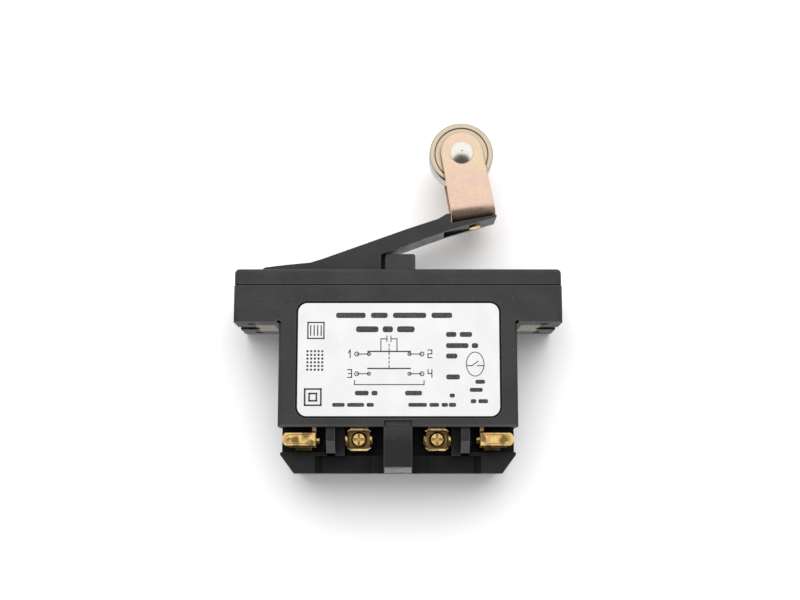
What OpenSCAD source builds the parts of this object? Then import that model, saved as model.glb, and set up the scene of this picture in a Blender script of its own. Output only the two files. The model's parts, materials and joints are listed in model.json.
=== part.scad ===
// Roller-lever limit switch: a moulded flange-mount body with a side-hinged lever, a spring
// returned plunger and a double-break contact block with four screw terminals.
// X is the width, Y the depth (the label faces -Y), Z the height. Z = 0 is the flange's seat.

/* [Flange and cover] */
// Width over the mounting flange
flange_w = 82.3; // [81.5:0.1:83]
// Depth of the housing, front to back
body_d = 25.4; // [25:0.1:26]
// Height of the flange above its seat
flange_h = 9.25; // [9.1:0.05:9.4]
// Height of the top cover
cover_h = 3.95; // [3.8:0.05:4.1]
// Thickness of the cover gasket
gasket_h = 0.3; // [0.2:0.05:0.35]

/* [Lower body] */
// Width of the lower body
body_w = 59.4; // [59.2:0.1:59.8]
// Depth of the front wall below the flange
body_drop = 26; // [25.8:0.1:26.2]
// Distance from the flange seat down to the feet
foot_drop = 37.4; // [37.2:0.1:38]

/* [Mounting slots] */
// Width of the open-ended mounting slots
slot_w = 4.8; // [4.6:0.1:5.2]
// Distance between the centres of the two slots' closed ends
slot_pitch = 76.2; // [76:0.1:76.4]

/* [Lever and roller] */
// Slope of the lever arm's underside at rest
lever_slope = 20; // [19.8:0.1:20.2]
// Width of the lever
lever_w = 9.5; // [9.3:0.1:9.7]
// Diameter of the roller
roller_d = 16.8; // [16:0.1:17]
// Width of the roller
roller_w = 6.35; // [6:0.05:6.5]
// Lean of the roller bracket
bracket_tilt = 10.5; // [10:0.1:11]
// Height of the roller's axis above the bracket's underside
roller_rise = 18.05; // [17.5:0.05:18.5]

/* [Label] */
// Width of the label
label_w = 50.1; // [49:0.1:51]
// Height of the label
label_h = 28.15; // [28:0.05:28.6]

/* [Hidden] */
$fn = 48;
eps = 0.02;

// colours
plastic = [0.18, 0.18, 0.19];
zinc_yellow = [0.90, 0.80, 0.70];
steel = [0.75, 0.74, 0.72];
brass = [0.82, 0.66, 0.34];
copper = [0.80, 0.52, 0.36];
silver = [0.86, 0.86, 0.85];
rubber_black = [0.10, 0.10, 0.10];

// housing
front_y = -body_d / 2;
back_y = body_d / 2;
corner_r = 1.2;
cavity = [50, 20, 26];
cavity_y = -9.4;
cavity_z = -21;
deck_z = cavity_z + cavity.z;
rear_inset = 0.8;
plate = [55, 1.4, 22.8];
plate_y = back_y - rear_inset - plate.y;
plate_z = -24;
cover_z = flange_h + gasket_h;
cover_top = cover_z + cover_h;
label_x = 0.15;
label_z = -9.35;
recess_d = 0.35;
slot_end_x = slot_pitch / 2;
insert = [5.2, 13, 6.2];
insert_x = 31.3;

// terminals
block_w = 59;
block_y = front_y + 6;
bay_y = front_y + 7.8;
bay_top = -24.6;
outer_floor = -32.1;
wall_y = front_y + 1.8;
rib_w = 7;
rib_chamfer = 1.9;
fin_x = 16.65;
fin_w = 2.2;
terminal_z = -28.95;
strap_foot = -31;
inner_x = 9.8;
outer_y = -6.2;
strap_t = 1;
strap_w = 4.6;
inner_seat_y = -1;
outer_seat_x = 20.4;
thread_r = 1.4;
clamp_reach = 7.4;
clamp_half = 3.35;
clamp_flat = 2.85;
clamp_t = 0.6;

// lever
pivot_x = -31;
pivot_z = 11.4;
pivot_r = 1.25;
arm_x = -3.63;
arm_z = 18.93;
tip_x = 25.6;
seat_x = 14.2;
web_x = 19.95;
web_z = 28.1;
wedge_x = -4.45;
tongue_x = -3.05;
tongue_w = 3.8;
pocket_w = 10.3;
running = 0.06;

// bracket
strip_t = 1.2;
bend_r = 4;
ear_r = 5.4;
foot_half = 5.75;
pin_r = 2;
bush_r = 3.2;

// plunger and contacts
plunger_x = 0.4;
plunger_w = 8.2;
plunger_d = 7.6;
plunger_top = 18.95;
stem_r = 2.2;
stem_z = -8;
carrier = [12, 9, 9.5];
carrier_z = -15;
contact_x = 15.5;
bridge = [35, 5, 1];
upper_z = -7.4;
lower_z = -11.6;
contact_t = 0.9;
make_gap = 1.3;
button_r = 1.6;

function underside(x) = arm_z + (x - arm_x) * tan(lever_slope);

// helpers
module round_rect(w, d, r) {
    square([w - 2 * r, d], center = true);
    square([w, d - 2 * r], center = true);
    for (x = [-1, 1], y = [-1, 1])
        translate([x * (w / 2 - r), y * (d / 2 - r)]) circle(r);
}

module along_y(y0, y1) {
    translate([0, y1, 0]) rotate([90, 0, 0]) linear_extrude(y1 - y0) children();
}

module y_rod(r, y0, y1) {
    translate([0, y0, 0]) rotate([-90, 0, 0]) cylinder(r = r, h = y1 - y0);
}

module box(x0, x1, y0, y1, z0, z1) {
    translate([x0, y0, z0]) cube([x1 - x0, y1 - y0, z1 - z0]);
}

module mirror_x() {
    children();
    mirror([1, 0, 0]) children();
}

// a slab with rounded upright corners and the same round along its top edges
module soft_slab(w, d, h, r) {
    linear_extrude(h - r) round_rect(w, d, r);
    translate([0, 0, h - r]) {
        linear_extrude(r) square([w - 2 * r, d - 2 * r], center = true);
        for (y = [-1, 1])
            translate([0, y * (d / 2 - r), 0]) rotate([0, 90, 0])
                cylinder(r = r, h = w - 2 * r, center = true);
        for (x = [-1, 1])
            translate([x * (w / 2 - r), 0, 0]) rotate([90, 0, 0])
                cylinder(r = r, h = d - 2 * r, center = true);
        for (x = [-1, 1], y = [-1, 1])
            translate([x * (w / 2 - r), y * (d / 2 - r), 0]) sphere(r);
    }
}

// places one terminal: its origin is where the strap meets the clamp, and -Y points outwards
module at_inner() { for (s = [-1, 1]) translate([s * inner_x, inner_seat_y - strap_t, terminal_z]) children(); }
module at_outer() {
    for (s = [-1, 1])
        translate([s * (outer_seat_x + strap_t), outer_y, terminal_z]) rotate([0, 0, s * 90]) children();
}

// a helical spring of round wire, standing on z = 0
module coil(r, wire, h, turns) {
    sides = 8;
    steps = 16 * turns;
    rise = (h - 2 * wire) / steps;
    points = [for (i = [0:steps], j = [0:sides - 1])
        let (a = i * 360 / 16, b = -j * 360 / sides, reach = r + wire * cos(b))
            [reach * cos(a), reach * sin(a), wire + i * rise + wire * sin(b)]];
    walls = [for (i = [0:steps - 1], j = [0:sides - 1])
        let (k = (j + 1) % sides)
            [i * sides + j, (i + 1) * sides + j, (i + 1) * sides + k, i * sides + k]];
    ends = [[for (j = [0:sides - 1]) j], [for (j = [sides - 1:-1:0]) steps * sides + j]];
    polyhedron(points, concat(walls, ends));
}

// housing: one moulding
module housing_outline() {
    linear_extrude(flange_h) round_rect(flange_w, body_d, corner_r);
    translate([0, -rear_inset / 2, -body_drop]) linear_extrude(body_drop + eps)
        round_rect(body_w, body_d - rear_inset, 0.8);
}

module terminal_block() {
    cut_x = 3.45;
    cut_z = 4.6;
    along_y(block_y, back_y - rear_inset)
        polygon([[-block_w / 2, -body_drop + eps], [block_w / 2, -body_drop + eps],
                 [block_w / 2, -foot_drop + cut_z], [block_w / 2 - cut_x, -foot_drop],
                 [-block_w / 2 + cut_x, -foot_drop], [-block_w / 2, -foot_drop + cut_z]]);
}

module centre_rib() {
    translate([-rib_w / 2, 0, 0]) rotate([90, 0, 90]) linear_extrude(rib_w)
        polygon([[front_y, -body_drop + eps], [front_y, -foot_drop + rib_chamfer],
                 [front_y + rib_chamfer, -foot_drop], [0, -foot_drop], [0, -body_drop + eps]]);
}

module fin() {
    drop = 3.5;
    slope = 2.9;
    setback = 0.9;
    translate([fin_x - fin_w / 2, 0, 0]) rotate([90, 0, 90]) linear_extrude(fin_w)
        polygon([[front_y + setback, -body_drop + eps], [front_y + setback, -body_drop - drop],
                 [front_y + setback + slope, -body_drop - drop - slope], [0, -body_drop - drop - slope],
                 [0, -body_drop + eps]]);
    box(fin_x - fin_w / 2 - 2.25, fin_x - fin_w / 2 + eps, front_y + 4.2, 0, -body_drop - 7, -body_drop + eps);
}

module inner_bay() {
    box(rib_w / 2, fin_x + fin_w / 2, wall_y, inner_seat_y, -33, bay_top);
    // lower face of the bay, set back between a bevelled post and a pilaster beside the rib
    translate([0, 0, -foot_drop - 1]) linear_extrude(foot_drop - 32)
        polygon([[6.6, block_y - 1], [6.6, bay_y], [fin_x + 2.4, bay_y], [fin_x + 4.25, block_y],
                 [fin_x + 4.25, block_y - 1]]);
}

module outer_bay() {
    box(outer_seat_x + strap_t - 3.6, body_w / 2 - 1.2, wall_y, outer_y + 4.6, outer_floor, bay_top);
    box(outer_seat_x + strap_t - 3.6, block_w / 2 + 1, wall_y, outer_y + 4.6, outer_floor, -body_drop);
}

// bevel along the lower edge of the front wall
module wall_chamfer() {
    bevel = 0.45;
    translate([-body_w / 2 - 1, 0, 0]) rotate([90, 0, 90]) linear_extrude(body_w + 2)
        polygon([[front_y - 1, -body_drop - 1], [front_y - 1, -body_drop + bevel],
                 [front_y, -body_drop + bevel], [front_y + bevel, -body_drop], [front_y + bevel, -body_drop - 1]]);
}

module strap_slots() {
    box(inner_x - strap_w / 2 - 0.1, inner_x + strap_w / 2 + 0.1, inner_seat_y - strap_t - 0.05,
        inner_seat_y + 0.05, strap_foot - 0.1, cavity_z + eps);
    box(outer_seat_x - 0.05, outer_seat_x + strap_t + 0.05, outer_y - strap_w / 2 - 0.1,
        outer_y + strap_w / 2 + 0.1, outer_floor, cavity_z + eps);
}

module screw_reliefs() {
    at_inner() y_rod(thread_r + 0.35, 0, 2.3);
    at_outer() y_rod(thread_r + 0.35, 0, 2.3);
}

module mounting_slot(z0, z1) {
    translate([slot_end_x, 0, z0]) linear_extrude(z1 - z0) {
        circle(slot_w / 2);
        translate([0, -slot_w / 2]) square([flange_w / 2 - slot_end_x + 1, slot_w]);
    }
}

module insert_shape(below) {
    translate([insert_x, -insert.y / 2, -below]) cube([insert.x, insert.y, insert.z + below]);
}

module housing() {
    color(plastic) difference() {
        union() {
            difference() {
                union() {
                    housing_outline();
                    terminal_block();
                }
                wall_chamfer();
                mirror_x() {
                    inner_bay();
                    outer_bay();
                }
            }
            centre_rib();
            mirror_x() fin();
        }
        // working cavity, closed by the rear plate, and the plate's rebate
        box(-cavity.x / 2, cavity.x / 2, cavity_y, back_y + 1, cavity_z, plate_z + plate.z - 2.5);
        box(-cavity.x / 2, cavity.x / 2, cavity_y, -cavity_y, cavity_z, deck_z);
        box(-plate.x / 2, plate.x / 2, plate_y, back_y + 1, plate_z, plate_z + plate.z);
        // plunger guide and the well that the lever sinks into
        translate([plunger_x, 0, 0]) linear_extrude(flange_h + 1)
            round_rect(plunger_w + 0.3, plunger_d + 0.3, 0.9);
        box(pivot_x - 4.6, wedge_x + 1.1, -pocket_w / 2, pocket_w / 2, flange_h - 1, flange_h + 1);
        mirror_x() mounting_slot(-1, flange_h + 1);
        mirror_x() insert_shape(eps);
        mirror_x() strap_slots();
        screw_reliefs();
        // moulded relief where the body meets the flange
        mirror_x() translate([body_w / 2, front_y - 1, 0]) rotate([-90, 0, 0]) cylinder(r = 0.5, h = 4);
        // the centre rib lies a step behind the front wall
        box(-rib_w / 2, rib_w / 2, front_y - 1, front_y + 0.3, -foot_drop - 1, label_z - label_h / 2 - 1);
        cover_screw_places() cylinder(r = 1.1, h = 20, center = true);
        rivet_places() y_rod(1.05, plate_y - 4, plate_y + 1);
        translate([label_x, front_y + recess_d, label_z]) along_y(-1, 0) round_rect(label_w + 1, label_h + 1, 2.8);
    }
}

module rivet_places() {
    for (x = [-1, 1], z = [plate_z + 1.6, plate_z + plate.z - 4.2]) translate([x * 26, 0, z]) children();
}

module rear_plate() {
    color(plastic) difference() {
        box(-plate.x / 2 + 0.1, plate.x / 2 - 0.1, plate_y, plate_y + plate.y, plate_z + 0.1,
            plate_z + plate.z - 0.1);
        rivet_places() y_rod(1.05, plate_y - 1, plate_y + plate.y + 1);
        // shallow sunk panel
        box(-20, 20, plate_y + plate.y - 0.4, plate_y + 3, plate_z + 5, plate_z + plate.z - 5);
    }
}

module rear_rivets() {
    color(steel) rivet_places() {
        y_rod(1, plate_y - 3.6, plate_y + plate.y + eps);
        translate([0, plate_y + plate.y, 0]) rotate([-90, 0, 0]) cylinder(r1 = 1.7, r2 = 1.1, h = 0.5);
    }
}

// top cover and what it holds
module cover_screw_places() {
    for (x = [-1, 1], y = [-1, 1]) translate([x * 37, y * 8.6, 0]) children();
}

module top_cover() {
    ring = 1.9;
    color(plastic) difference() {
        translate([0, 0, cover_z]) soft_slab(flange_w - 0.25, body_d, cover_h, 1.15);
        box(pivot_x - 4.6, wedge_x + 1.1, -pocket_w / 2, pocket_w / 2, cover_z - 1, cover_top + 1);
        translate([plunger_x, 0, cover_z - 1]) linear_extrude(cover_h + 2)
            round_rect(plunger_w + 0.5, plunger_d + 0.5, 1);
        translate([plunger_x, 0, cover_z - 1]) linear_extrude(ring + 1)
            round_rect(plunger_w + 2.6, plunger_d + 2.6, 1.5);
        // the pivot pin lies in notches that open at the cover's underside
        translate([pivot_x, 0, pivot_z]) y_rod(pivot_r, -8, 8);
        box(pivot_x - pivot_r, pivot_x + pivot_r, -8, 8, cover_z - 1, pivot_z);
        mirror_x() mounting_slot(cover_z - 1, cover_top + 1);
        cover_screw_places() {
            cylinder(r = 1.5, h = 40, center = true);
            translate([0, 0, cover_top - 1.5]) cylinder(r = 2.5, h = 3);
        }
    }
}

module cover_gasket() {
    color(rubber_black) translate([0, 0, flange_h]) difference() {
        linear_extrude(gasket_h) round_rect(flange_w - 1, body_d - 0.9, 1);
        box(pivot_x - 4.6, wedge_x + 1.1, -pocket_w / 2, pocket_w / 2, -1, 1);
        box(pivot_x - pivot_r - 0.2, pivot_x + pivot_r + 0.2, -8.2, 8.2, -1, 1);
        translate([plunger_x, 0, -1]) linear_extrude(2) round_rect(plunger_w + 0.7, plunger_d + 0.7, 1);
        mirror_x() mounting_slot(-1, 1);
        cover_screw_places() cylinder(r = 1.6, h = 4, center = true);
    }
}

module cover_screws() {
    color(steel) cover_screw_places() difference() {
        union() {
            translate([0, 0, cover_z - 7]) cylinder(r = 1, h = cover_h + 6);
            translate([0, 0, cover_top - 1.5]) cylinder(r = 2.2, h = 1.3);
        }
        translate([0, 0, cover_top]) {
            cube([3.2, 0.6, 1.6], center = true);
            cube([0.6, 3.2, 1.6], center = true);
        }
    }
}

module lever_pivot_pin() {
    color(steel) translate([pivot_x, 0, pivot_z]) y_rod(pivot_r - 0.01, -7.9, 7.9);
}

module plunger_seal() {
    color(rubber_black) translate([plunger_x, 0, cover_z + 0.1]) linear_extrude(1.7) difference() {
        round_rect(plunger_w + 2.4, plunger_d + 2.4, 1.4);
        round_rect(plunger_w + 0.1, plunger_d + 0.1, 0.9);
        // open towards the lever's wedge
        translate([-plunger_w, 0]) square([plunger_w + 0.2, 2 * plunger_d], center = true);
    }
}

module mounting_inserts() {
    color(brass) mirror_x() difference() {
        insert_shape(0);
        mounting_slot(-1, flange_h + 1);
    }
}

module label() {
    color("white") translate([label_x, front_y + recess_d, label_z]) along_y(-0.2, 0)
        round_rect(label_w, label_h, 2.3);
}

// terminals
module terminal_screw() {
    head_r = 1.93;
    under_head = -2.2;
    head_top = -4.5;
    difference() {
        union() {
            y_rod(thread_r - 0.05, under_head - 0.5, 1.8);
            y_rod(head_r, head_top, under_head);
            translate([0, head_top, 0]) rotate([90, 0, 0]) cylinder(r1 = head_r, r2 = head_r - 0.45, h = 0.5);
        }
        translate([0, head_top - 0.5, 0]) {
            cube([2.7, 1.8, 0.55], center = true);
            cube([0.55, 1.8, 2.7], center = true);
        }
    }
}

module terminal_screws() {
    color(brass) {
        at_inner() terminal_screw();
        at_outer() terminal_screw();
    }
}

module clamp_outline(inset) {
    side = clamp_half - inset;
    flat = clamp_flat - inset;
    right = [[side, 1.55], [0.9 * side, 2.2], [0.61 * side, flat]];
    polygon(concat([for (p = right) p], [for (i = [2:-1:0]) [-right[i].x, right[i].y]],
                   [for (p = right) [-p.x, -p.y]], [for (i = [2:-1:0]) [right[i].x, -right[i].y]]));
}

// a formed clamp: an eight-sided collar, two long ears that straddle the strap, and a base under the screw
module wire_clamp() {
    ear_h = 1.95;
    panel_r = 1.1;
    collar = 4;
    difference() {
        along_y(-clamp_reach, 0.9) difference() {
            clamp_outline(0);
            clamp_outline(clamp_t);
        }
        // everything past the collar is cut back to two ears with round ends
        for (z = [-1, 1]) box(-5, 5, -clamp_reach - 1, -collar, min(z * ear_h, z * 5), max(z * ear_h, z * 5));
        for (z = [-1, 1]) box(-5, 5, 0, 2, min(z * ear_h, z * 5), max(z * ear_h, z * 5));
        rotate([90, 0, 90]) linear_extrude(12, center = true) difference() {
            translate([-clamp_reach - 1, -ear_h]) square([ear_h + 1, 2 * ear_h]);
            translate([-clamp_reach + ear_h, 0]) circle(ear_h);
        }
        // sunk panel on the outside of each ear
        for (x = [-1, 1]) translate([x * clamp_half, 0, 0]) rotate([90, 0, 90])
            linear_extrude(0.36, center = true) {
                translate([-clamp_reach + ear_h, 0]) circle(panel_r);
                translate([-clamp_reach + ear_h, -panel_r]) square([clamp_reach - ear_h - 0.6, 2 * panel_r]);
            }
    }
    difference() {
        along_y(-0.7, 0) clamp_outline(clamp_t / 2);
        y_rod(thread_r + 0.15, -1, 1);
    }
}

module wire_clamps() {
    color(brass) {
        at_inner() wire_clamp();
        at_outer() wire_clamp();
    }
}

// a stamped strap for an inner terminal: it rises to a normally-open contact
module strap_no() {
    color(copper) difference() {
        union() {
            box(inner_x - strap_w / 2, inner_x + strap_w / 2, inner_seat_y - strap_t, inner_seat_y,
                strap_foot, no_tab_z());
            box(inner_x - strap_w / 2, contact_x + 2.4, inner_seat_y - strap_t, 3, no_tab_z() - strap_t,
                no_tab_z());
        }
        at_inner() y_rod(thread_r, -1, 3);
    }
}

function no_tab_z() = lower_z - contact_t - make_gap - contact_t;
function nc_tab_z() = upper_z + bridge.z + 2 * contact_t;

// a stamped strap for an outer terminal: it rises to a normally-closed contact
module strap_nc() {
    color(copper) difference() {
        union() {
            box(outer_seat_x, outer_seat_x + strap_t, outer_y - strap_w / 2, outer_y + strap_w / 2,
                strap_foot, -19);
            box(outer_seat_x, outer_seat_x + strap_t, outer_y - strap_w / 2, 3, -20,
                nc_tab_z() + strap_t);
            box(contact_x - 2.4, outer_seat_x + strap_t, -3, 3, nc_tab_z(), nc_tab_z() + strap_t);
        }
        at_outer() y_rod(thread_r, -1, 3);
    }
}

module strap_nc_right() { strap_nc(); }
module strap_nc_left() { mirror([1, 0, 0]) strap_nc(); }
module strap_no_right() { strap_no(); }
module strap_no_left() { mirror([1, 0, 0]) strap_no(); }

module fixed_contacts() {
    color(silver) for (s = [-1, 1]) translate([s * contact_x, 0, 0]) {
        translate([0, 0, nc_tab_z() - contact_t + 0.05]) cylinder(r = button_r, h = contact_t - 0.05);
        translate([0, 0, no_tab_z()]) cylinder(r = button_r, h = contact_t);
    }
}

// moving contacts
module contact_carrier() {
    color([0.55, 0.50, 0.42]) difference() {
        translate([plunger_x - carrier.x / 2, -carrier.y / 2, carrier_z]) cube(carrier);
        translate([plunger_x, 0, carrier_z + 2]) cylinder(r = stem_r + 0.2, h = carrier.z);
        translate([plunger_x, 0, carrier_z - 1]) cylinder(r = 2.6, h = 2);
        for (z = [upper_z, lower_z])
            box(-10, 10, -bridge.y / 2 - 0.05, bridge.y / 2 + 0.05, z - 0.05, z + bridge.z + 0.05);
    }
}

module bridge_bar(z) {
    color(copper) difference() {
        box(-bridge.x / 2, bridge.x / 2, -bridge.y / 2, bridge.y / 2, z, z + bridge.z);
        translate([plunger_x, 0, z - 1]) cylinder(r = stem_r + 0.2, h = bridge.z + 2);
    }
}

module upper_bridge() { bridge_bar(upper_z); }
module lower_bridge() { bridge_bar(lower_z); }

module bridge_contacts() {
    color(silver) for (s = [-1, 1]) translate([s * contact_x, 0, 0]) {
        translate([0, 0, upper_z + bridge.z]) cylinder(r = button_r, h = contact_t);
        translate([0, 0, lower_z - contact_t]) cylinder(r = button_r, h = contact_t);
    }
}

module return_spring() {
    color(steel) translate([plunger_x, 0, cavity_z]) coil(2, 0.3, carrier_z + 1 - cavity_z, 6);
}

module overtravel_spring() {
    color(steel) translate([plunger_x, 0, carrier_z + 2]) coil(1.6, 0.25, stem_z - carrier_z - 2, 4);
}

module plunger() {
    edge = 0.5;
    collar_z = deck_z - 1.7;
    color(plastic) {
        difference() {
            translate([plunger_x, 0, deck_z - 1.7]) linear_extrude(plunger_top - deck_z + 1.7)
                round_rect(plunger_w, plunger_d, 0.8);
            // eased top edges
            for (s = [-1, 1]) translate([plunger_x + s * (plunger_w / 2 - edge), 0, plunger_top - edge])
                difference() {
                    box(s < 0 ? -1 : 0, s < 0 ? 0 : 1, -5, 5, 0, 1);
                    y_rod(edge, -6, 6);
                }
            // groove for the lever's tongue
            box(plunger_x - plunger_w, tongue_x + 0.95, -tongue_w / 2 - 0.4, tongue_w / 2 + 0.4, deck_z + 3,
                plunger_top + 1);
        }
        translate([plunger_x, 0, collar_z]) linear_extrude(1.6) round_rect(plunger_w + 3, plunger_d + 2, 1);
        translate([plunger_x, 0, stem_z]) cylinder(r = stem_r, h = collar_z - stem_z + 1);
    }
}

// lever: its underside is one straight slope, and a wedge sinks into the cover's well
module lever_side() {
    polygon([[-34.9, 12.6], [-34.9, 14.85], [-34.2, 15.25], [-28.9, 15.9], [-22.7, 16.5], [-19.6, 17.45],
             [2, 25.25], [10.4, 28.05], [12.7, 29.4], [seat_x - 0.4, 29.5],
             [seat_x - 0.4, seat_height(seat_x - 0.4)], [tip_x, seat_height(tip_x)],
             [tip_x, seat_height(tip_x) - 0.5], [12.7, underside(12.7)], [wedge_x, underside(wedge_x)],
             [wedge_x, 11.5], [pivot_x + 2, 10], [pivot_x, 9.6], [pivot_x - 2, 10]]);
}

function seat_height(x) = web_z + (x - web_x) * tan(bracket_tilt);

module at_bracket() { translate([web_x, 0, web_z]) rotate([0, -bracket_tilt, 0]) children(); }

module lever() {
    color(plastic) difference() {
        union() {
            along_y(-lever_w / 2, lever_w / 2) lever_side();
            // tongue that runs in the plunger's groove
            along_y(-tongue_w / 2, tongue_w / 2)
                polygon([[wedge_x - 1, 11.6], [tongue_x, 11.9], [tongue_x, 18.6], [wedge_x - 1, 18.2]]);
        }
        translate([pivot_x, 0, pivot_z]) y_rod(pivot_r + running, -10, 10);
        // pocket under the tip, open to the rivet's lower head
        at_bracket() box(-8.4, 4.5, -3.5, 3.5, -8, -0.9);
        at_bracket() cylinder(r = 1.1, h = 8, center = true);
    }
}

module bracket_profile() {
    half = roller_w / 2 + 1.6;
    difference() {
        union() {
            translate([-half, bend_r]) square([2 * half, 40]);
            translate([-half + bend_r, 0]) square([2 * (half - bend_r), 40]);
            for (s = [-1, 1]) translate([s * (half - bend_r), bend_r]) circle(bend_r);
        }
        translate([-half + strip_t, bend_r]) square([2 * (half - strip_t), 41]);
        translate([-half + bend_r, strip_t]) square([2 * (half - bend_r), 41]);
        for (s = [-1, 1]) translate([s * (half - bend_r), bend_r]) circle(bend_r - strip_t);
    }
}

module roller_bracket() {
    color(zinc_yellow) at_bracket() difference() {
        intersection() {
            translate([-8, 0, 0]) rotate([90, 0, 90]) linear_extrude(16) bracket_profile();
            along_y(-8, 8) {
                translate([0, roller_rise]) circle(ear_r);
                polygon([[-foot_half, -1], [foot_half, -1], [ear_r, roller_rise], [-ear_r, roller_rise]]);
            }
        }
        cylinder(r = 1.1, h = 8, center = true);
        translate([0, 0, roller_rise]) y_rod(pin_r, -8, 8);
    }
}

module bracket_rivet() {
    color(brass) at_bracket() {
        translate([0, 0, -1.5]) cylinder(r = 1.5, h = 0.6);
        translate([0, 0, -1]) cylinder(r = 1.08, h = strip_t + 1.6);
        translate([0, 0, strip_t + 0.3]) cylinder(r1 = 1.9, r2 = 1.5, h = 0.9);
    }
}

module roller_pin() {
    half = roller_w / 2 + 1.6;
    head_r = 3.15;
    head_h = 1.6;
    dome_r = (head_r * head_r + head_h * head_h) / (2 * head_h);
    color(silver) at_bracket() translate([0, 0, roller_rise]) {
        y_rod(pin_r - 0.01, -half - 0.1, half + 0.1);
        translate([0, -half, 0]) rotate([90, 0, 0]) intersection() {
            translate([0, 0, head_h - dome_r]) sphere(dome_r);
            cylinder(r = head_r, h = head_h + 1);
        }
        translate([0, half, 0]) rotate([-90, 0, 0]) cylinder(r1 = 2.7, r2 = 2.1, h = 0.8);
    }
}

module roller() {
    rim = roller_d / 2;
    half = roller_w / 2;
    edge = 0.4;
    groove = rim - 1.4;
    color(zinc_yellow) at_bracket() translate([0, 0, roller_rise]) rotate([90, 0, 0]) rotate_extrude($fn = 96)
        polygon([[bush_r, -half], [groove - 0.3, -half], [groove, -half + 0.35], [groove + 0.1, -half],
                 [rim - edge, -half], [rim, -half + edge], [rim, half - edge], [rim - edge, half],
                 [groove + 0.1, half], [groove, half - 0.35], [groove - 0.3, half], [bush_r, half]]);
}

module roller_bushing() {
    color([0.62, 0.48, 0.30]) at_bracket() translate([0, 0, roller_rise]) difference() {
        y_rod(bush_r, -roller_w / 2 - 0.15, roller_w / 2 + 0.15);
        y_rod(pin_r + running, -roller_w, roller_w);
    }
}

housing();
rear_plate();
rear_rivets();
top_cover();
cover_gasket();
cover_screws();
label();
mounting_inserts();
lever_pivot_pin();
plunger_seal();
terminal_screws();
wire_clamps();
strap_nc_left();
strap_nc_right();
strap_no_left();
strap_no_right();
fixed_contacts();
return_spring();
lever();
roller_bracket();
bracket_rivet();
roller_pin();
roller();
roller_bushing();
plunger();
contact_carrier();
upper_bridge();
lower_bridge();
bridge_contacts();
overtravel_spring();
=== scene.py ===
import json
import math
import random

import bmesh
import bpy
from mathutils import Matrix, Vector


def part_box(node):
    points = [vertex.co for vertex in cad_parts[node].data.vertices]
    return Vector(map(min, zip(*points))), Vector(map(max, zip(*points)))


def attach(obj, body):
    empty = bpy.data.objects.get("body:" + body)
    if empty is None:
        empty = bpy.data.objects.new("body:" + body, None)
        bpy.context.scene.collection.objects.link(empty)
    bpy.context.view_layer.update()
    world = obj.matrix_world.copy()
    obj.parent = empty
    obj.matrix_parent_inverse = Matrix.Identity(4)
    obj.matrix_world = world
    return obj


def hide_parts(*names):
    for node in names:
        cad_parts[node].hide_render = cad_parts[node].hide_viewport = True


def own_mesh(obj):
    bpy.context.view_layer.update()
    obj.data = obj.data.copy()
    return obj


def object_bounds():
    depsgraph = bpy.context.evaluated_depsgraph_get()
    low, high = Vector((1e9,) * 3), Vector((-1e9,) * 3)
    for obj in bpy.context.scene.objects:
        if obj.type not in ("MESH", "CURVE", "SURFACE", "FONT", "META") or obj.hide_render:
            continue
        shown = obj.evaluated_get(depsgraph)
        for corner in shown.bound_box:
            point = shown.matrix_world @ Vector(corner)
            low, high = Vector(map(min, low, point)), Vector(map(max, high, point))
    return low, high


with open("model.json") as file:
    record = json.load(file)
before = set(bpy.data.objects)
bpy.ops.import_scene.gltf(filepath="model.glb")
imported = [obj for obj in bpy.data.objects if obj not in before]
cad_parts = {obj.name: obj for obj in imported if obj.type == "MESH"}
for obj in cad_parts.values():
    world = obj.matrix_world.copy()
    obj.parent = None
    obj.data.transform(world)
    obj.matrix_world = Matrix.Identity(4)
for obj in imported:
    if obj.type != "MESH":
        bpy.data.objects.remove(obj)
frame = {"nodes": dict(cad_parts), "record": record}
cad_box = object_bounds()
nodes = frame["nodes"]

MM = 0.001

# ---------------------------------------------------------------- camera, stage and light

FRONT_Y = cad_box[0].y
BACK_Y = cad_box[1].y
CAMERA_GAP = 292 * MM
CAMERA_DROP = 39 * MM
AIM_Z = 5.5 * MM
CAMERA_X = 0.5 * MM
# brightness of the studio as seen by matt faces
FILL = 0.62
# how far the studio's dark floor leans away from the camera
HORIZON_LEAN = 0.35
# how far the centre rib's face lies behind the front wall, and the bevel at its foot
RIB_STEP = 0.3 * MM
RIB_BEVEL = 1.9 * MM
RIB_HALF = 3.5 * MM


def make_camera():
    data = bpy.data.cameras.new("camera")
    data.sensor_width = 36
    data.lens = 53.17
    data.clip_start = 0.01
    data.clip_end = 10
    camera = bpy.data.objects.new("camera", data)
    bpy.context.scene.collection.objects.link(camera)
    place = Vector((CAMERA_X, FRONT_Y - CAMERA_GAP, -CAMERA_DROP))
    target = Vector((CAMERA_X, FRONT_Y, AIM_Z))
    camera.location = place
    camera.rotation_euler = (target - place).to_track_quat("-Z", "Y").to_euler()
    bpy.context.scene.camera = camera


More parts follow.
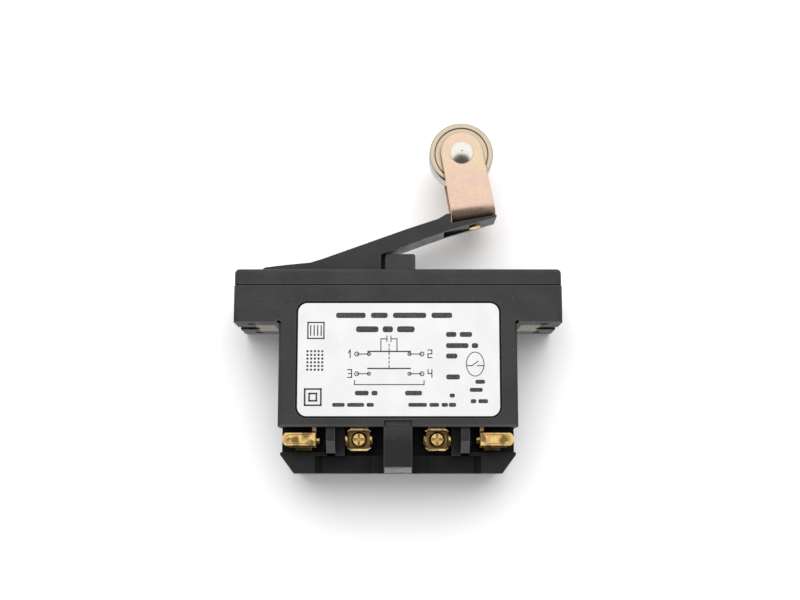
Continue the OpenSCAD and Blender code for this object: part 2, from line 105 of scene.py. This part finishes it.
def make_world():
    """A white studio. Gloss mirrors it with a dark floor, and matt faces take it as a weaker fill."""
    world = bpy.data.worlds.new("studio")
    bpy.context.scene.world = world
    world.use_nodes = True
    tree = world.node_tree
    sky = tree.nodes["Background"]
    way = tree.nodes.new("ShaderNodeTexCoord")
    level = tree.nodes.new("ShaderNodeVectorMath")
    level.operation = "DOT_PRODUCT"
    level.inputs[1].default_value = (0, HORIZON_LEAN, 1)
    rise = tree.nodes.new("ShaderNodeMapRange")
    rise.inputs["From Min"].default_value = -1
    ramp = tree.nodes.new("ShaderNodeValToRGB")
    stops = ramp.color_ramp.elements
    stops[0].color = (0.07, 0.065, 0.06, 1)
    stops[1].color = (1, 1, 1, 1)
    for place, white in ((0.15, 0.08), (0.225, 0.45), (0.285, 0.98)):
        stops.new(place).color = (white, white, white, 1)
    rays = tree.nodes.new("ShaderNodeLightPath")
    seen = tree.nodes.new("ShaderNodeMapRange")
    seen.inputs["To Min"].default_value = FILL
    mirrored = tree.nodes.new("ShaderNodeMix")
    mirrored.data_type = "RGBA"
    tree.links.new(way.outputs["Generated"], level.inputs[0])
    tree.links.new(level.outputs["Value"], rise.inputs["Value"])
    tree.links.new(rise.outputs[0], ramp.inputs["Fac"])
    tree.links.new(rays.outputs["Is Camera Ray"], seen.inputs["Value"])
    tree.links.new(rays.outputs["Is Glossy Ray"], mirrored.inputs[0])
    tree.links.new(seen.outputs[0], mirrored.inputs[6])
    tree.links.new(ramp.outputs["Color"], mirrored.inputs[7])
    tree.links.new(mirrored.outputs[2], sky.inputs["Color"])
    bpy.context.scene.view_settings.view_transform = "Standard"


def make_softbox(name, place, aim, size, power):
    data = bpy.data.lights.new(name, "AREA")
    data.shape = "RECTANGLE"
    data.size, data.size_y = size
    data.energy = power
    lamp = bpy.data.objects.new(name, data)
    bpy.context.scene.collection.objects.link(lamp)
    lamp.location = place
    lamp.rotation_euler = (Vector(aim) - Vector(place)).to_track_quat("-Z", "Y").to_euler()
    lamp.visible_camera = False
    lamp.visible_glossy = False


def make_backdrop():
    """The white sheet that the switch lies on, seen only from its front."""
    half = 1.5
    y = BACK_Y + 0.1 * MM
    mesh = bpy.data.meshes.new("sheet")
    mesh.from_pydata([(-half, y, -half), (half, y, -half), (half, y, half), (-half, y, half)], [],
                     [(0, 1, 2, 3)])
    sheet = bpy.data.objects.new("sheet", mesh)
    bpy.context.scene.collection.objects.link(sheet)
    material = bpy.data.materials.new("sheet_white")
    material.use_nodes = True
    tree = material.node_tree
    tree.nodes.clear()
    out = tree.nodes.new("ShaderNodeOutputMaterial")
    mix = tree.nodes.new("ShaderNodeMixShader")
    white = tree.nodes.new("ShaderNodeBsdfDiffuse")
    white.inputs["Color"].default_value = (0.93, 0.93, 0.93, 1)
    clear = tree.nodes.new("ShaderNodeBsdfTransparent")
    side = tree.nodes.new("ShaderNodeNewGeometry")
    tree.links.new(side.outputs["Backfacing"], mix.inputs["Fac"])
    tree.links.new(white.outputs[0], mix.inputs[1])
    tree.links.new(clear.outputs[0], mix.inputs[2])
    tree.links.new(mix.outputs[0], out.inputs["Surface"])
    mesh.materials.append(material)
    sheet.visible_diffuse = False
    sheet.visible_glossy = False
    sheet.visible_transmission = False
    sheet.visible_shadow = False


# ---------------------------------------------------------------- material nodes


class Surface:
    """A Principled material, with helpers that build its procedural colour, roughness and relief."""

    def __init__(self, name, rough, metal=0.0):
        self.material = bpy.data.materials.new(name)
        self.material.use_nodes = True
        self.tree = self.material.node_tree
        self.shader = self.tree.nodes["Principled BSDF"]
        self.shader.inputs["Metallic"].default_value = metal
        self.shader.inputs["Roughness"].default_value = rough
        self.where = self.tree.nodes.new("ShaderNodeTexCoord").outputs["Object"]
        self.height = None

    def node(self, kind, **inputs):
        made = self.tree.nodes.new(kind)
        for key, value in inputs.items():
            self.feed(made.inputs[key.replace("_", " ")], value)
        return made

    def feed(self, socket, value):
        if isinstance(value, bpy.types.NodeSocket):
            self.tree.links.new(value, socket)
        else:
            socket.default_value = value

    def noise(self, size, detail=3.0, stretch=(1, 1, 1)):
        """Noise whose blotches are about size across, in metres."""
        place = self.where
        if stretch != (1, 1, 1):
            place = self.node("ShaderNodeMapping", Vector=place, Scale=stretch).outputs[0]
        return self.node("ShaderNodeTexNoise", Vector=place, Scale=1 / size, Detail=detail).outputs["Fac"]

    def grains(self, size, share, soft=0.04):
        """1 inside small scattered specks and 0 between them; share sets how many there are."""
        cells = self.node("ShaderNodeTexVoronoi", Vector=self.where, Scale=1 / size)
        near = self.remap(cells.outputs["Distance"], 0.16, 0.16 - soft, 0, 1)
        chance = self.node("ShaderNodeSeparateColor", Color=cells.outputs["Color"]).outputs[0]
        picked = self.remap(chance, share, share - 0.01, 0, 1)
        return self.math("MULTIPLY", near, picked)

    def place(self, axis):
        """How far along one axis the surface lies, in metres."""
        return self.node("ShaderNodeSeparateXYZ", Vector=self.where).outputs[axis]

    def from_axle(self, axle):
        """The distance from a line along Y through axle."""
        across = self.math("SUBTRACT", self.place("X"), axle.x)
        up = self.math("SUBTRACT", self.place("Z"), axle.z)
        squares = self.math("ADD", self.math("POWER", across, 2), self.math("POWER", up, 2))
        return self.math("POWER", squares, 0.5)

    def edges(self, radius):
        """0 on flat faces, rising towards 1 at sharp edges."""
        bevel = self.node("ShaderNodeBevel", Radius=radius)
        bevel.samples = 4
        true = self.node("ShaderNodeNewGeometry").outputs["Normal"]
        dot = self.tree.nodes.new("ShaderNodeVectorMath")
        dot.operation = "DOT_PRODUCT"
        self.feed(dot.inputs[0], bevel.outputs[0])
        self.feed(dot.inputs[1], true)
        return self.remap(dot.outputs["Value"], 0.995, 0.8, 0, 1)

    def recess(self, reach, span=(0.88, 0.38)):
        """0 in the open, rising to 1 deep in a corner or a slot."""
        made = self.node("ShaderNodeAmbientOcclusion", Distance=reach)
        made.samples = 12
        return self.remap(made.outputs["AO"], *span, 0, 1)

    def under(self):
        """1 on faces that look down, 0 on the others."""
        normal = self.node("ShaderNodeNewGeometry").outputs["Normal"]
        down = self.node("ShaderNodeSeparateXYZ", Vector=normal).outputs["Z"]
        return self.remap(down, -0.45, -0.85, 0, 1)

    def math(self, operation, a, b):
        made = self.tree.nodes.new("ShaderNodeMath")
        made.operation = operation
        self.feed(made.inputs[0], a)
        self.feed(made.inputs[1], b)
        return made.outputs[0]

    def remap(self, value, a, b, low, high):
        made = self.tree.nodes.new("ShaderNodeMapRange")
        for socket, number in zip(made.inputs[:5], (value, a, b, low, high)):
            self.feed(socket, number)
        return made.outputs[0]

    def mix(self, share, a, b):
        made = self.tree.nodes.new("ShaderNodeMix")
        made.data_type = "RGBA"
        self.feed(made.inputs[0], share)
        self.feed(made.inputs[6], (*a, 1) if isinstance(a, tuple) else a)
        self.feed(made.inputs[7], (*b, 1) if isinstance(b, tuple) else b)
        return made.outputs[2]

    def color(self, value):
        self.feed(self.shader.inputs["Base Color"], (*value, 1) if isinstance(value, tuple) else value)

    def rough(self, value):
        self.feed(self.shader.inputs["Roughness"], value)

    def bump(self, height, depth):
        """Adds relief: height runs 0 to 1, and depth is its size in metres."""
        made = self.node("ShaderNodeBump", Height=height, Strength=1.0, Distance=depth)
        if self.height is not None:
            self.feed(made.inputs["Normal"], self.height)
        self.height = made.outputs[0]
        self.feed(self.shader.inputs["Normal"], self.height)


# colour that faces looking down are lightened towards: painted light standing for light from below
UNDERSIDE_PAINTED_LIGHT = (0.17, 0.17, 0.165)
# below this height the moulding is the terminal block, which is glossier; it lies recessed under the front
# wall, and its colour is painted darker there as painted shade
BLOCK_TOP = -26 * MM


def moulded(name, base, rough, reach=25 * MM, shade=(0.985, 0.80), pale=0.8):
    """Matt black moulding: fine spark texture, faint flow marks, dusty specks, edges lightened partly by
    rubbing and partly as painted highlight, painted shade below the terminal block's top and in recesses, and
    painted light on faces that look down.
    """
    s = Surface(name, rough)
    dark = tuple(0.9 * c for c in base)
    light = tuple(1.1 * c for c in base)
    dust_and_highlight = tuple(min(1, 5 * c) for c in base)
    body = s.mix(s.remap(s.noise(7 * MM), 0.35, 0.65, 0, 1), dark, light)
    body = s.mix(s.remap(s.noise(0.3 * MM, 2), 0.55, 0.75, 0, 0.5), body, tuple(1.7 * c for c in base))
    # painted shade: the colour darkens below the top of the terminal block
    body = s.mix(s.remap(s.place("Z"), BLOCK_TOP, BLOCK_TOP - 4 * MM, 0, 0.7), body, (0.009, 0.009, 0.01))
    # edges lightened: partly rubbed wear, partly painted highlight
    body = s.mix(s.math("MULTIPLY", s.edges(0.35 * MM), 0.35), body, dust_and_highlight)
    body = s.mix(s.math("MULTIPLY", s.grains(1.1 * MM, 0.08), 0.35), body, dust_and_highlight)
    clustered = s.math("MULTIPLY", s.grains(0.8 * MM, 0.5), s.remap(s.noise(9 * MM), 0.58, 0.66, 0, 0.7))
    body = s.mix(clustered, body, dust_and_highlight)
    # painted light: faces that look down are lightened
    body = s.mix(s.math("MULTIPLY", s.under(), pale), body, UNDERSIDE_PAINTED_LIGHT)
    # painted shade: darkened in corners and recesses
    body = s.mix(s.math("MULTIPLY", s.recess(reach, shade), 0.9), body, (0.004, 0.004, 0.004))
    s.color(body)
    s.rough(s.remap(s.noise(2.5 * MM), 0.3, 0.7, rough - 0.07, rough + 0.08))
    s.bump(s.noise(0.28 * MM, 2), 0.006 * MM)
    s.bump(s.noise(4 * MM), 0.02 * MM)
    s.shader.inputs["Specular IOR Level"].default_value = 0.15
    return s.material


def plated_zinc():
    """Yellow zinc chromate: peach and straw clouds with pink and green casts and fine vertical drag, with
    painted light towards the top and painted shade on edges and in recesses.
    """
    s = Surface("yellow_zinc", 0.3, 0.92)
    cloud = s.remap(s.noise(4.5 * MM, 4), 0.36, 0.62, 0, 1)
    tint = s.mix(cloud, (0.88, 0.64, 0.49), (0.88, 0.58, 0.52))
    straw = s.remap(s.noise(3.2 * MM, 5), 0.46, 0.70, 0, 0.7)
    tint = s.mix(straw, tint, (0.88, 0.73, 0.47))
    green = s.remap(s.noise(1.5 * MM, 2), 0.60, 0.74, 0, 0.25)
    tint = s.mix(green, tint, (0.74, 0.72, 0.50))
    fleck = s.remap(s.noise(0.6 * MM, 3), 0.52, 0.68, 0, 0.45)
    tint = s.mix(fleck, tint, (0.66, 0.50, 0.33))
    # painted light: lighter and more straw-coloured towards the top
    high = s.remap(s.place("Z"), 37 * MM, 47 * MM, 0, 0.4)
    tint = s.mix(high, tint, (0.92, 0.75, 0.50))
    tint = s.mix(s.math("MULTIPLY", s.grains(0.9 * MM, 0.05), 0.3), tint, (0.42, 0.28, 0.17))
    # painted shade: edges darkened
    tint = s.mix(s.math("MULTIPLY", s.edges(0.35 * MM), 0.7), tint, (0.42, 0.30, 0.19))
    # painted shade: darkened in corners and recesses
    tint = s.mix(s.recess(1.5 * MM, (0.8, 0.2)), tint, (0.30, 0.19, 0.11))
    s.color(tint)
    s.rough(s.remap(s.noise(0.8 * MM), 0.3, 0.7, 0.24, 0.38))
    s.bump(s.noise(0.5 * MM, 3, (1, 1, 0.35)), 0.006 * MM)
    return s.material


def turned_zinc():
    """The roller's own duller, straw-coloured plating, worn to grey where it rolls, with painted shade in its
    groove.
    """
    s = Surface("roller_zinc", 0.3, 1)
    tint = s.mix(s.remap(s.noise(2.6 * MM, 4), 0.36, 0.64, 0, 1), (0.76, 0.64, 0.46), (0.80, 0.67, 0.53))
    tint = s.mix(s.remap(s.noise(1.8 * MM, 3), 0.56, 0.72, 0, 0.3), tint, (0.66, 0.64, 0.55))
    low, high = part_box("roller")
    tread = (high.z - low.z) / 2
    reach = s.from_axle((low + high) / 2)
    wave = s.math("SINE", s.math("MULTIPLY", reach, math.tau / (0.45 * MM)), 0)
    tint = s.mix(s.remap(wave, 0.3, 1, 0, 0.3), tint, (0.52, 0.43, 0.31))
    worn = s.remap(reach, tread - 0.42 * MM, tread - 0.25 * MM, 0, 0.85)
    tint = s.mix(worn, tint, (0.40, 0.385, 0.36))
    # painted shade: darkened in the groove and corners
    tint = s.mix(s.recess(1.2 * MM), tint, (0.16, 0.11, 0.06))
    s.color(tint)
    s.rough(s.remap(s.noise(0.8 * MM), 0.3, 0.7, 0.2, 0.32))
    s.bump(s.noise(0.5 * MM, 2), 0.002 * MM)
    return s.material


def scuffed():
    """Pale rubbed plastic, streaked across its width."""
    s = Surface("rubbed_plastic", 0.6)
    streak = s.remap(s.noise(0.5 * MM, 4, (0.15, 1, 1)), 0.3, 0.7, 0, 1)
    s.color(s.mix(streak, (0.21, 0.21, 0.205), (0.38, 0.38, 0.37)))
    s.rough(s.remap(s.noise(0.6 * MM), 0.3, 0.7, 0.5, 0.7))
    s.bump(s.noise(0.3 * MM, 3), 0.01 * MM)
    return s.material


def steel(name, base, rough, stain_and_shade):
    """Turned or headed metal: faint clouding, small pits and painted shade in its corners and hollows."""
    s = Surface(name, rough, 1)
    dark = tuple(c * k for c, k in zip(base, stain_and_shade))
    tint = s.mix(s.remap(s.noise(1.3 * MM, 4), 0.42, 0.70, 0, 0.8), base, dark)
    tint = s.mix(s.math("MULTIPLY", s.grains(0.5 * MM, 0.08), 0.35), tint, tuple(0.4 * c for c in dark))
    # painted shade: darkened in corners, hollows and drive recesses
    tint = s.mix(s.math("MULTIPLY", s.recess(1.2 * MM, (0.7, 0.2)), 0.8), tint, tuple(0.12 * c for c in dark))
    s.color(tint)
    s.rough(s.remap(s.noise(0.6 * MM), 0.3, 0.7, rough - 0.05, rough + 0.08))
    s.bump(s.noise(0.35 * MM, 3), 0.004 * MM)
    return s.material


def aged_brass():
    """The wire clamps: orange brass with dark brown patches, painted highlights on their rims and painted
    shade in their hollows.
    """
    s = Surface("aged_brass", 0.25, 1)
    tint = s.mix(s.remap(s.noise(1.8 * MM, 2), 0.4, 0.6, 0, 1), (0.88, 0.68, 0.22), (0.84, 0.46, 0.18))
    tint = s.mix(s.remap(s.noise(3.0 * MM, 2), 0.50, 0.60, 0, 0.9), tint, (0.17, 0.10, 0.03))
    # painted highlight: rims lightened to cream
    tint = s.mix(s.math("MULTIPLY", s.edges(0.4 * MM), 0.9), tint, (1.0, 0.86, 0.62))
    # painted shade: darkened in corners and recesses
    tint = s.mix(s.math("MULTIPLY", s.recess(2.2 * MM), 0.9), tint, (0.05, 0.03, 0.015))
    s.color(tint)
    s.rough(s.remap(s.noise(0.7 * MM), 0.3, 0.7, 0.12, 0.26))
    s.bump(s.noise(2.2 * MM, 1), 0.05 * MM)
    return s.material


def paper():
    """Satin white label stock with the faintest mottling."""
    s = Surface("label_white", 0.42)
    s.color(s.mix(s.remap(s.noise(5 * MM, 4), 0.35, 0.65, 0, 1), (0.64, 0.64, 0.65), (0.68, 0.68, 0.68)))
    s.rough(s.remap(s.noise(0.9 * MM), 0.3, 0.7, 0.38, 0.5))
    s.bump(s.noise(0.4 * MM, 3), 0.003 * MM)
    s.shader.inputs["Specular IOR Level"].default_value = 0.3
    return s.material


def ink():
    s = Surface("label_ink", 0.5)
    s.color(s.mix(s.remap(s.noise(0.5 * MM, 4), 0.4, 0.7, 0, 1), (0.02, 0.02, 0.022), (0.07, 0.07, 0.075)))
    s.rough(s.remap(s.noise(0.7 * MM), 0.3, 0.7, 0.45, 0.6))
    return s.material


def rubber():
    s = Surface("gasket_rubber", 0.8)
    s.color(s.mix(s.noise(1.5 * MM), (0.010, 0.010, 0.010), (0.022, 0.022, 0.022)))
    s.rough(s.remap(s.noise(0.8 * MM), 0.3, 0.7, 0.7, 0.9))
    s.bump(s.noise(0.3 * MM), 0.01 * MM)
    return s.material


MATERIALS = {
    "moulded_black": moulded("moulded_black", (0.035, 0.035, 0.036), 0.5),
    "lever_black": moulded("lever_black", (0.031, 0.031, 0.032), 0.38, 6 * MM, (0.7, 0.2), 0.15),
    "label_white": paper(),
    "gasket_rubber": rubber(),
    "yellow_zinc": plated_zinc(),
    "bright_steel": steel("bright_steel", (0.80, 0.78, 0.74), 0.22, (0.8, 0.78, 0.74)),
    "brass_screw": steel("brass_screw", (0.84, 0.60, 0.23), 0.2, (0.75, 0.6, 0.4)),
    # painted shade: copper darkened well below its bright colour, standing for the shade the straps sit in
    "copper_strap": steel("copper_strap", (0.48, 0.26, 0.13), 0.35, (0.7, 0.6, 0.5)),
    "contact_silver": steel("contact_silver", (1.0, 0.96, 0.86), 0.16, (0.93, 0.92, 0.86)),
    "sintered_bronze": steel("sintered_bronze", (0.50, 0.37, 0.22), 0.5, (0.6, 0.6, 0.6)),
    "carrier_phenolic": moulded("carrier_phenolic", (0.16, 0.10, 0.06), 0.55),
}

# edge rounding of the CAD nodes, in millimetres; what isn't listed keeps its own edges
ROUNDING = {
    "housing": 0.22, "lever": 0.3, "plunger": 0.2, "rear_plate": 0.2, "roller_bracket": 0.18,
    "wire_clamps": 0.24, "terminal_screws": 0.1, "cover_screws": 0.1, "roller_pin": 0.1, "roller": 0.1,
    "mounting_inserts": 0.15, "top_cover": 0.18, "strap_no_left": 0.1, "strap_no_right": 0.1,
    "strap_nc_left": 0.1, "strap_nc_right": 0.1,
}

# nodes whose finish differs from the rest of their slot
OWN_FINISH = {
    "roller": turned_zinc(),
    "roller_pin": steel("pin_steel", (0.96, 0.93, 0.86), 0.3, (0.95, 0.93, 0.88)),
    "wire_clamps": aged_brass(),
    "plunger": moulded("plunger_black", (0.044, 0.044, 0.045), 0.4, 6 * MM, (0.7, 0.2)),
    "mounting_inserts": steel("insert_plate", (0.16, 0.13, 0.075), 0.4, (0.6, 0.6, 0.5)),
}


def make_piece(name, bm, material, body):
    """Turns bm into an object of the switch that moves with body."""
    mesh = bpy.data.meshes.new(name)
    bm.to_mesh(mesh)
    bm.free()
    piece = bpy.data.objects.new(name, mesh)
    bpy.context.scene.collection.objects.link(piece)
    mesh.materials.append(material)
    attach(piece, body)
    return piece


def dress_nodes():
    for part in frame["record"]["subparts"]:
        node = nodes[part["node"]]
        node.data.materials.clear()
        node.data.materials.append(OWN_FINISH.get(part["node"], MATERIALS[part["material_slot"]]))
        if part["node"] in ROUNDING:
            round_edges(node, ROUNDING[part["node"]] * MM)


def round_edges(piece, width):
    weld = piece.modifiers.new("weld", "WELD")
    weld.merge_threshold = 0.001 * MM
    flat = piece.modifiers.new("flat", "DECIMATE")
    flat.decimate_type = "DISSOLVE"
    flat.angle_limit = math.radians(0.4)
    edge = piece.modifiers.new("edge", "BEVEL")
    edge.width = width
    edge.segments = 2
    edge.limit_method = "ANGLE"
    edge.angle_limit = math.radians(32)
    edge.use_clamp_overlap = True
    edge.harden_normals = True
    edge.miter_outer = "MITER_ARC"


# ---------------------------------------------------------------- label print


class Print:
    """Flat ink shapes on the label. Places are in millimetres from the label's centre, x right and y up."""

    def __init__(self):
        low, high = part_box("label")
        self.middle = ((low.x + high.x) / 2, (low.z + high.z) / 2)
        self.front = low.y
        self.bm = bmesh.new()

    def shape(self, outline):
        """Raises one closed outline off the label by the thickness of the ink."""
        ink_depth = 0.015 * MM
        cx, cz = self.middle
        ring = [self.bm.verts.new((cx + x * MM, self.front, cz + y * MM)) for x, y in outline]
        face = self.bm.faces.new(ring)
        grown = bmesh.ops.extrude_face_region(self.bm, geom=[face])
        moved = [item for item in grown["geom"] if isinstance(item, bmesh.types.BMVert)]
        bmesh.ops.translate(self.bm, verts=moved, vec=(0, -ink_depth, 0))

    def bar(self, x, y, width, height):
        """A rounded bar, from its left end and its middle height."""
        r = min(width, height) * 0.35
        corners = ((x + width - r, y + height / 2 - r, 0), (x + r, y + height / 2 - r, 90),
                   (x + r, y - height / 2 + r, 180), (x + width - r, y - height / 2 + r, 270))
        outline = []
        for px, py, start in corners:
            for step in (0, 45, 90):
                turn = math.radians(start + step)
                outline.append((px + r * math.cos(turn), py + r * math.sin(turn)))
        self.shape(outline)

    def line(self, points, width=0.24):
        for (x0, y0), (x1, y1) in zip(points, points[1:]):
            along = Vector((x1 - x0, y1 - y0)).normalized() * width / 2
            side = Vector((-along.y, along.x))
            a = Vector((x0, y0)) - along
            b = Vector((x1, y1)) + along
            self.shape([tuple(v) for v in (a - side, b - side, b + side, a + side)])

    def ring(self, x, y, radius, width=0.24, tall=1.0):
        steps = 28
        for i in range(steps):
            turns = [2 * math.pi * (i + k) / steps for k in (0, 1)]
            outer = [(x + radius * math.cos(t), y + tall * radius * math.sin(t)) for t in turns]
            inner = [(x + (radius - width) * math.cos(t), y + (tall * radius - width) * math.sin(t))
                     for t in reversed(turns)]
            self.shape(outer + inner)

    def words(self, x, y, widths, height, gap=0.9):
        """A line of greeked type: one bar for each word."""
        for width in widths:
            self.bar(x, y, width, height)
            x += width + gap

    def digit(self, value, x, y, height=1.9):
        """A plain numeral of straight strokes."""
        w, h = height * 0.5, height / 2
        strokes = {
            1: [[(w * 0.2, 1.3 * h), (w * 0.6, 2 * h), (w * 0.6, 0)]],
            2: [[(0, 2 * h), (w, 2 * h), (w, h), (0, h), (0, 0), (w, 0)]],
            3: [[(0, 2 * h), (w, 2 * h), (w, 0), (0, 0)], [(0.2 * w, h), (w, h)]],
            4: [[(0, 2 * h), (0, h), (w, h)], [(w, 2 * h), (w, 0)]],
        }
        for stroke in strokes[value]:
            self.line([(x + px, y + py) for px, py in stroke], 0.26)

    def finish(self):
        bmesh.ops.recalc_face_normals(self.bm, faces=self.bm.faces)
        make_piece("label_print", self.bm, ink(), "body")


def print_label():
    page = Print()
    # two heading lines
    page.words(-15.6, 11.0, (7.4, 4.2, 8.3, 5.2), 1.35, 1.3)
    page.words(-10.6, 7.5, (5.6, 2.6, 4.4), 1.5, 1.0)
    # three plain marks down the left: a hatched tile, a grid of dots and a pair of tiles
    page.line([(-22.6, 5.2), (-18.6, 5.2), (-18.6, 9.2), (-22.6, 9.2), (-22.6, 5.2)], 0.34)
    for i in range(4):
        page.line([(-21.9 + 0.87 * i, 6.0), (-21.9 + 0.87 * i, 8.4)], 0.3)
    for column in range(5):
        for row in range(6):
            page.bar(-22.9 + 0.92 * column, -2.6 + 0.92 * row, 0.56, 0.56)
    page.line([(-23.2, -11.4), (-19.2, -11.4), (-19.2, -7.4), (-23.2, -7.4), (-23.2, -11.4)], 0.42)
    page.line([(-22.1, -10.3), (-20.3, -10.3), (-20.3, -8.5), (-22.1, -8.5), (-22.1, -10.3)], 0.42)
    # contact diagram: an opening pair above and a closing pair below, tied by a dashed link
    for x in (-10.4, 5.8):
        page.line([(x, 1.3), (x * 0.62 - 0.9, 1.3)])
        page.line([(x, -3.6), (x * 0.62 - 0.9, -3.6)])
        page.ring(x, 1.3, 0.62)
        page.ring(x, -3.6, 0.62)
        page.ring(x * 0.62 - 0.9, 1.3, 0.5)
        page.ring(x * 0.62 - 0.9, -3.6, 0.5)
    page.line([(-7.6, 1.95), (2.9, 1.95)], 0.34)
    page.line([(-7.6, -2.3), (2.9, -2.3)], 0.34)
    for i in range(6):
        page.line([(-2.35, -2.0 + 1.05 * i), (-2.35, -1.5 + 1.05 * i)])
    page.line([(-4.4, 1.95), (-4.4, 5.1), (-3.1, 5.1)])
    page.line([(-0.4, 1.95), (-0.4, 5.1), (-1.7, 5.1)])
    page.line([(-2.9, 4.4), (-2.9, 5.8)])
    page.line([(-1.9, 4.4), (-1.9, 5.8)])
    page.line([(-10.9, -5.3), (-10.9, -6.3), (6.3, -6.3), (6.3, -5.3)])
    for value, x, y in ((1, -12.6, 0.4), (2, 7.3, 0.4), (3, -12.6, -4.5), (4, 7.3, -4.5)):
        page.digit(value, x, y)
    page.words(-10.8, -8.4, (3.4, 1.5), 1.15, 0.7)
    page.words(1.6, -8.4, (4.2,), 1.15)
    # small print across the foot and down the right
    page.words(-16.4, -11.3, (3.1, 4.2, 1.8), 0.95, 0.6)
    page.words(2.4, -11.3, (4.6, 2.4, 1.6), 0.95, 0.6)
    for y, widths in ((6.2, (2.6, 3.1)), (3.4, (5.6, 1.6)), (0.8, (2.8,)), (-4.4, (3.4,))):
        page.words(11.8, y, widths, 1.25, 0.8)
    for x, y, widths in ((19.0, -5.6, (2.4,)), (17.6, -7.6, (3.2,)), (17.8, -10.4, (1.4, 2.4)),
                         (12.6, -9.0, (1.3,)), (12.4, -11.3, (1.8,))):
        page.words(x, y, widths, 1.0, 0.5)
    # small switch symbol in an oval
    page.ring(19.0, -1.2, 2.3, 0.22, 1.35)
    page.line([(17.1, -1.6), (18.2, -1.6), (19.7, -0.5)])
    page.line([(19.6, -1.6), (21.2, -1.6)])
    page.finish()


# ---------------------------------------------------------------- rubbed foot of the centre rib


def rub_rib_foot():
    """A skin over the bevel at the foot of the centre rib, where the switch has been set down."""
    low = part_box("housing")[0]
    lift = 0.02 * MM
    inset = 0.18 * MM
    top = Vector((0, low.y + RIB_STEP, low.z + RIB_BEVEL - RIB_STEP))
    foot = Vector((0, low.y + RIB_BEVEL, low.z))
    down = (foot - top).normalized()
    out = Vector((0, -1, -1)).normalized() * lift
    bm = bmesh.new()
    columns = 14
    rows = 4
    length = (foot - top).length - 2 * inset
    draw = random.Random(5)
    grid = []
    for row in range(rows + 1):
        line = []
        for column in range(columns + 1):
            ragged = draw.uniform(0, 0.12) * MM if row in (0, rows) else 0
            along = inset + ragged + (length - 2 * ragged) * row / rows
            x = (RIB_HALF - inset) * (2 * column / columns - 1)
            line.append(bm.verts.new(top + down * along + out + Vector((x, 0, 0))))
        grid.append(line)
    for above, below in zip(grid, grid[1:]):
        for i in range(columns):
            bm.faces.new((above[i], below[i], below[i + 1], above[i + 1]))
    piece = make_piece("rib_foot_rub", bm, scuffed(), "body")
    thick = piece.modifiers.new("thick", "SOLIDIFY")
    thick.thickness = lift


# ---------------------------------------------------------------- springs


def wind_spring(node, body, wire, turns):
    """A coil in place of the CAD one, closer wound at its ends."""
    low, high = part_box(node)
    middle = (low + high) / 2
    height = high.z - low.z
    radius = (high.x - low.x) / 2 - wire
    round_steps = 24
    wire_sides = 10
    steps = round_steps * turns
    bm = bmesh.new()
    rings = []
    for i in range(steps + 1):
        share = i / steps
        eased = share - 0.7 * math.sin(2 * math.pi * share) / (2 * math.pi)
        turn = 2 * math.pi * i / round_steps
        lift = low.z + wire + eased * (height - 2 * wire)
        ring = []
        for k in range(wire_sides):
            around = 2 * math.pi * k / wire_sides
            reach = radius + wire * math.cos(around)
            ring.append(bm.verts.new((middle.x + reach * math.cos(turn), middle.y + reach * math.sin(turn),
                                      lift + wire * math.sin(around))))
        rings.append(ring)
    for first, second in zip(rings, rings[1:]):
        for k in range(wire_sides):
            j = (k + 1) % wire_sides
            bm.faces.new((first[k], second[k], second[j], first[j])).smooth = True
    bm.faces.new(rings[0])
    bm.faces.new(rings[-1][::-1])
    bmesh.ops.recalc_face_normals(bm, faces=bm.faces)
    piece = make_piece(node + "_coil", bm, MATERIALS["bright_steel"], body)
    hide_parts(node)
    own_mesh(piece)


make_camera()
make_world()
make_backdrop()
make_softbox("key", (0.0, -0.9, 0.55), (0, 0, 0), (1.3, 1.1), 14)
dress_nodes()
print_label()
rub_rib_foot()
wind_spring("return_spring", "body", 0.3 * MM, 6)
wind_spring("overtravel_spring", "contact_carrier", 0.25 * MM, 4)
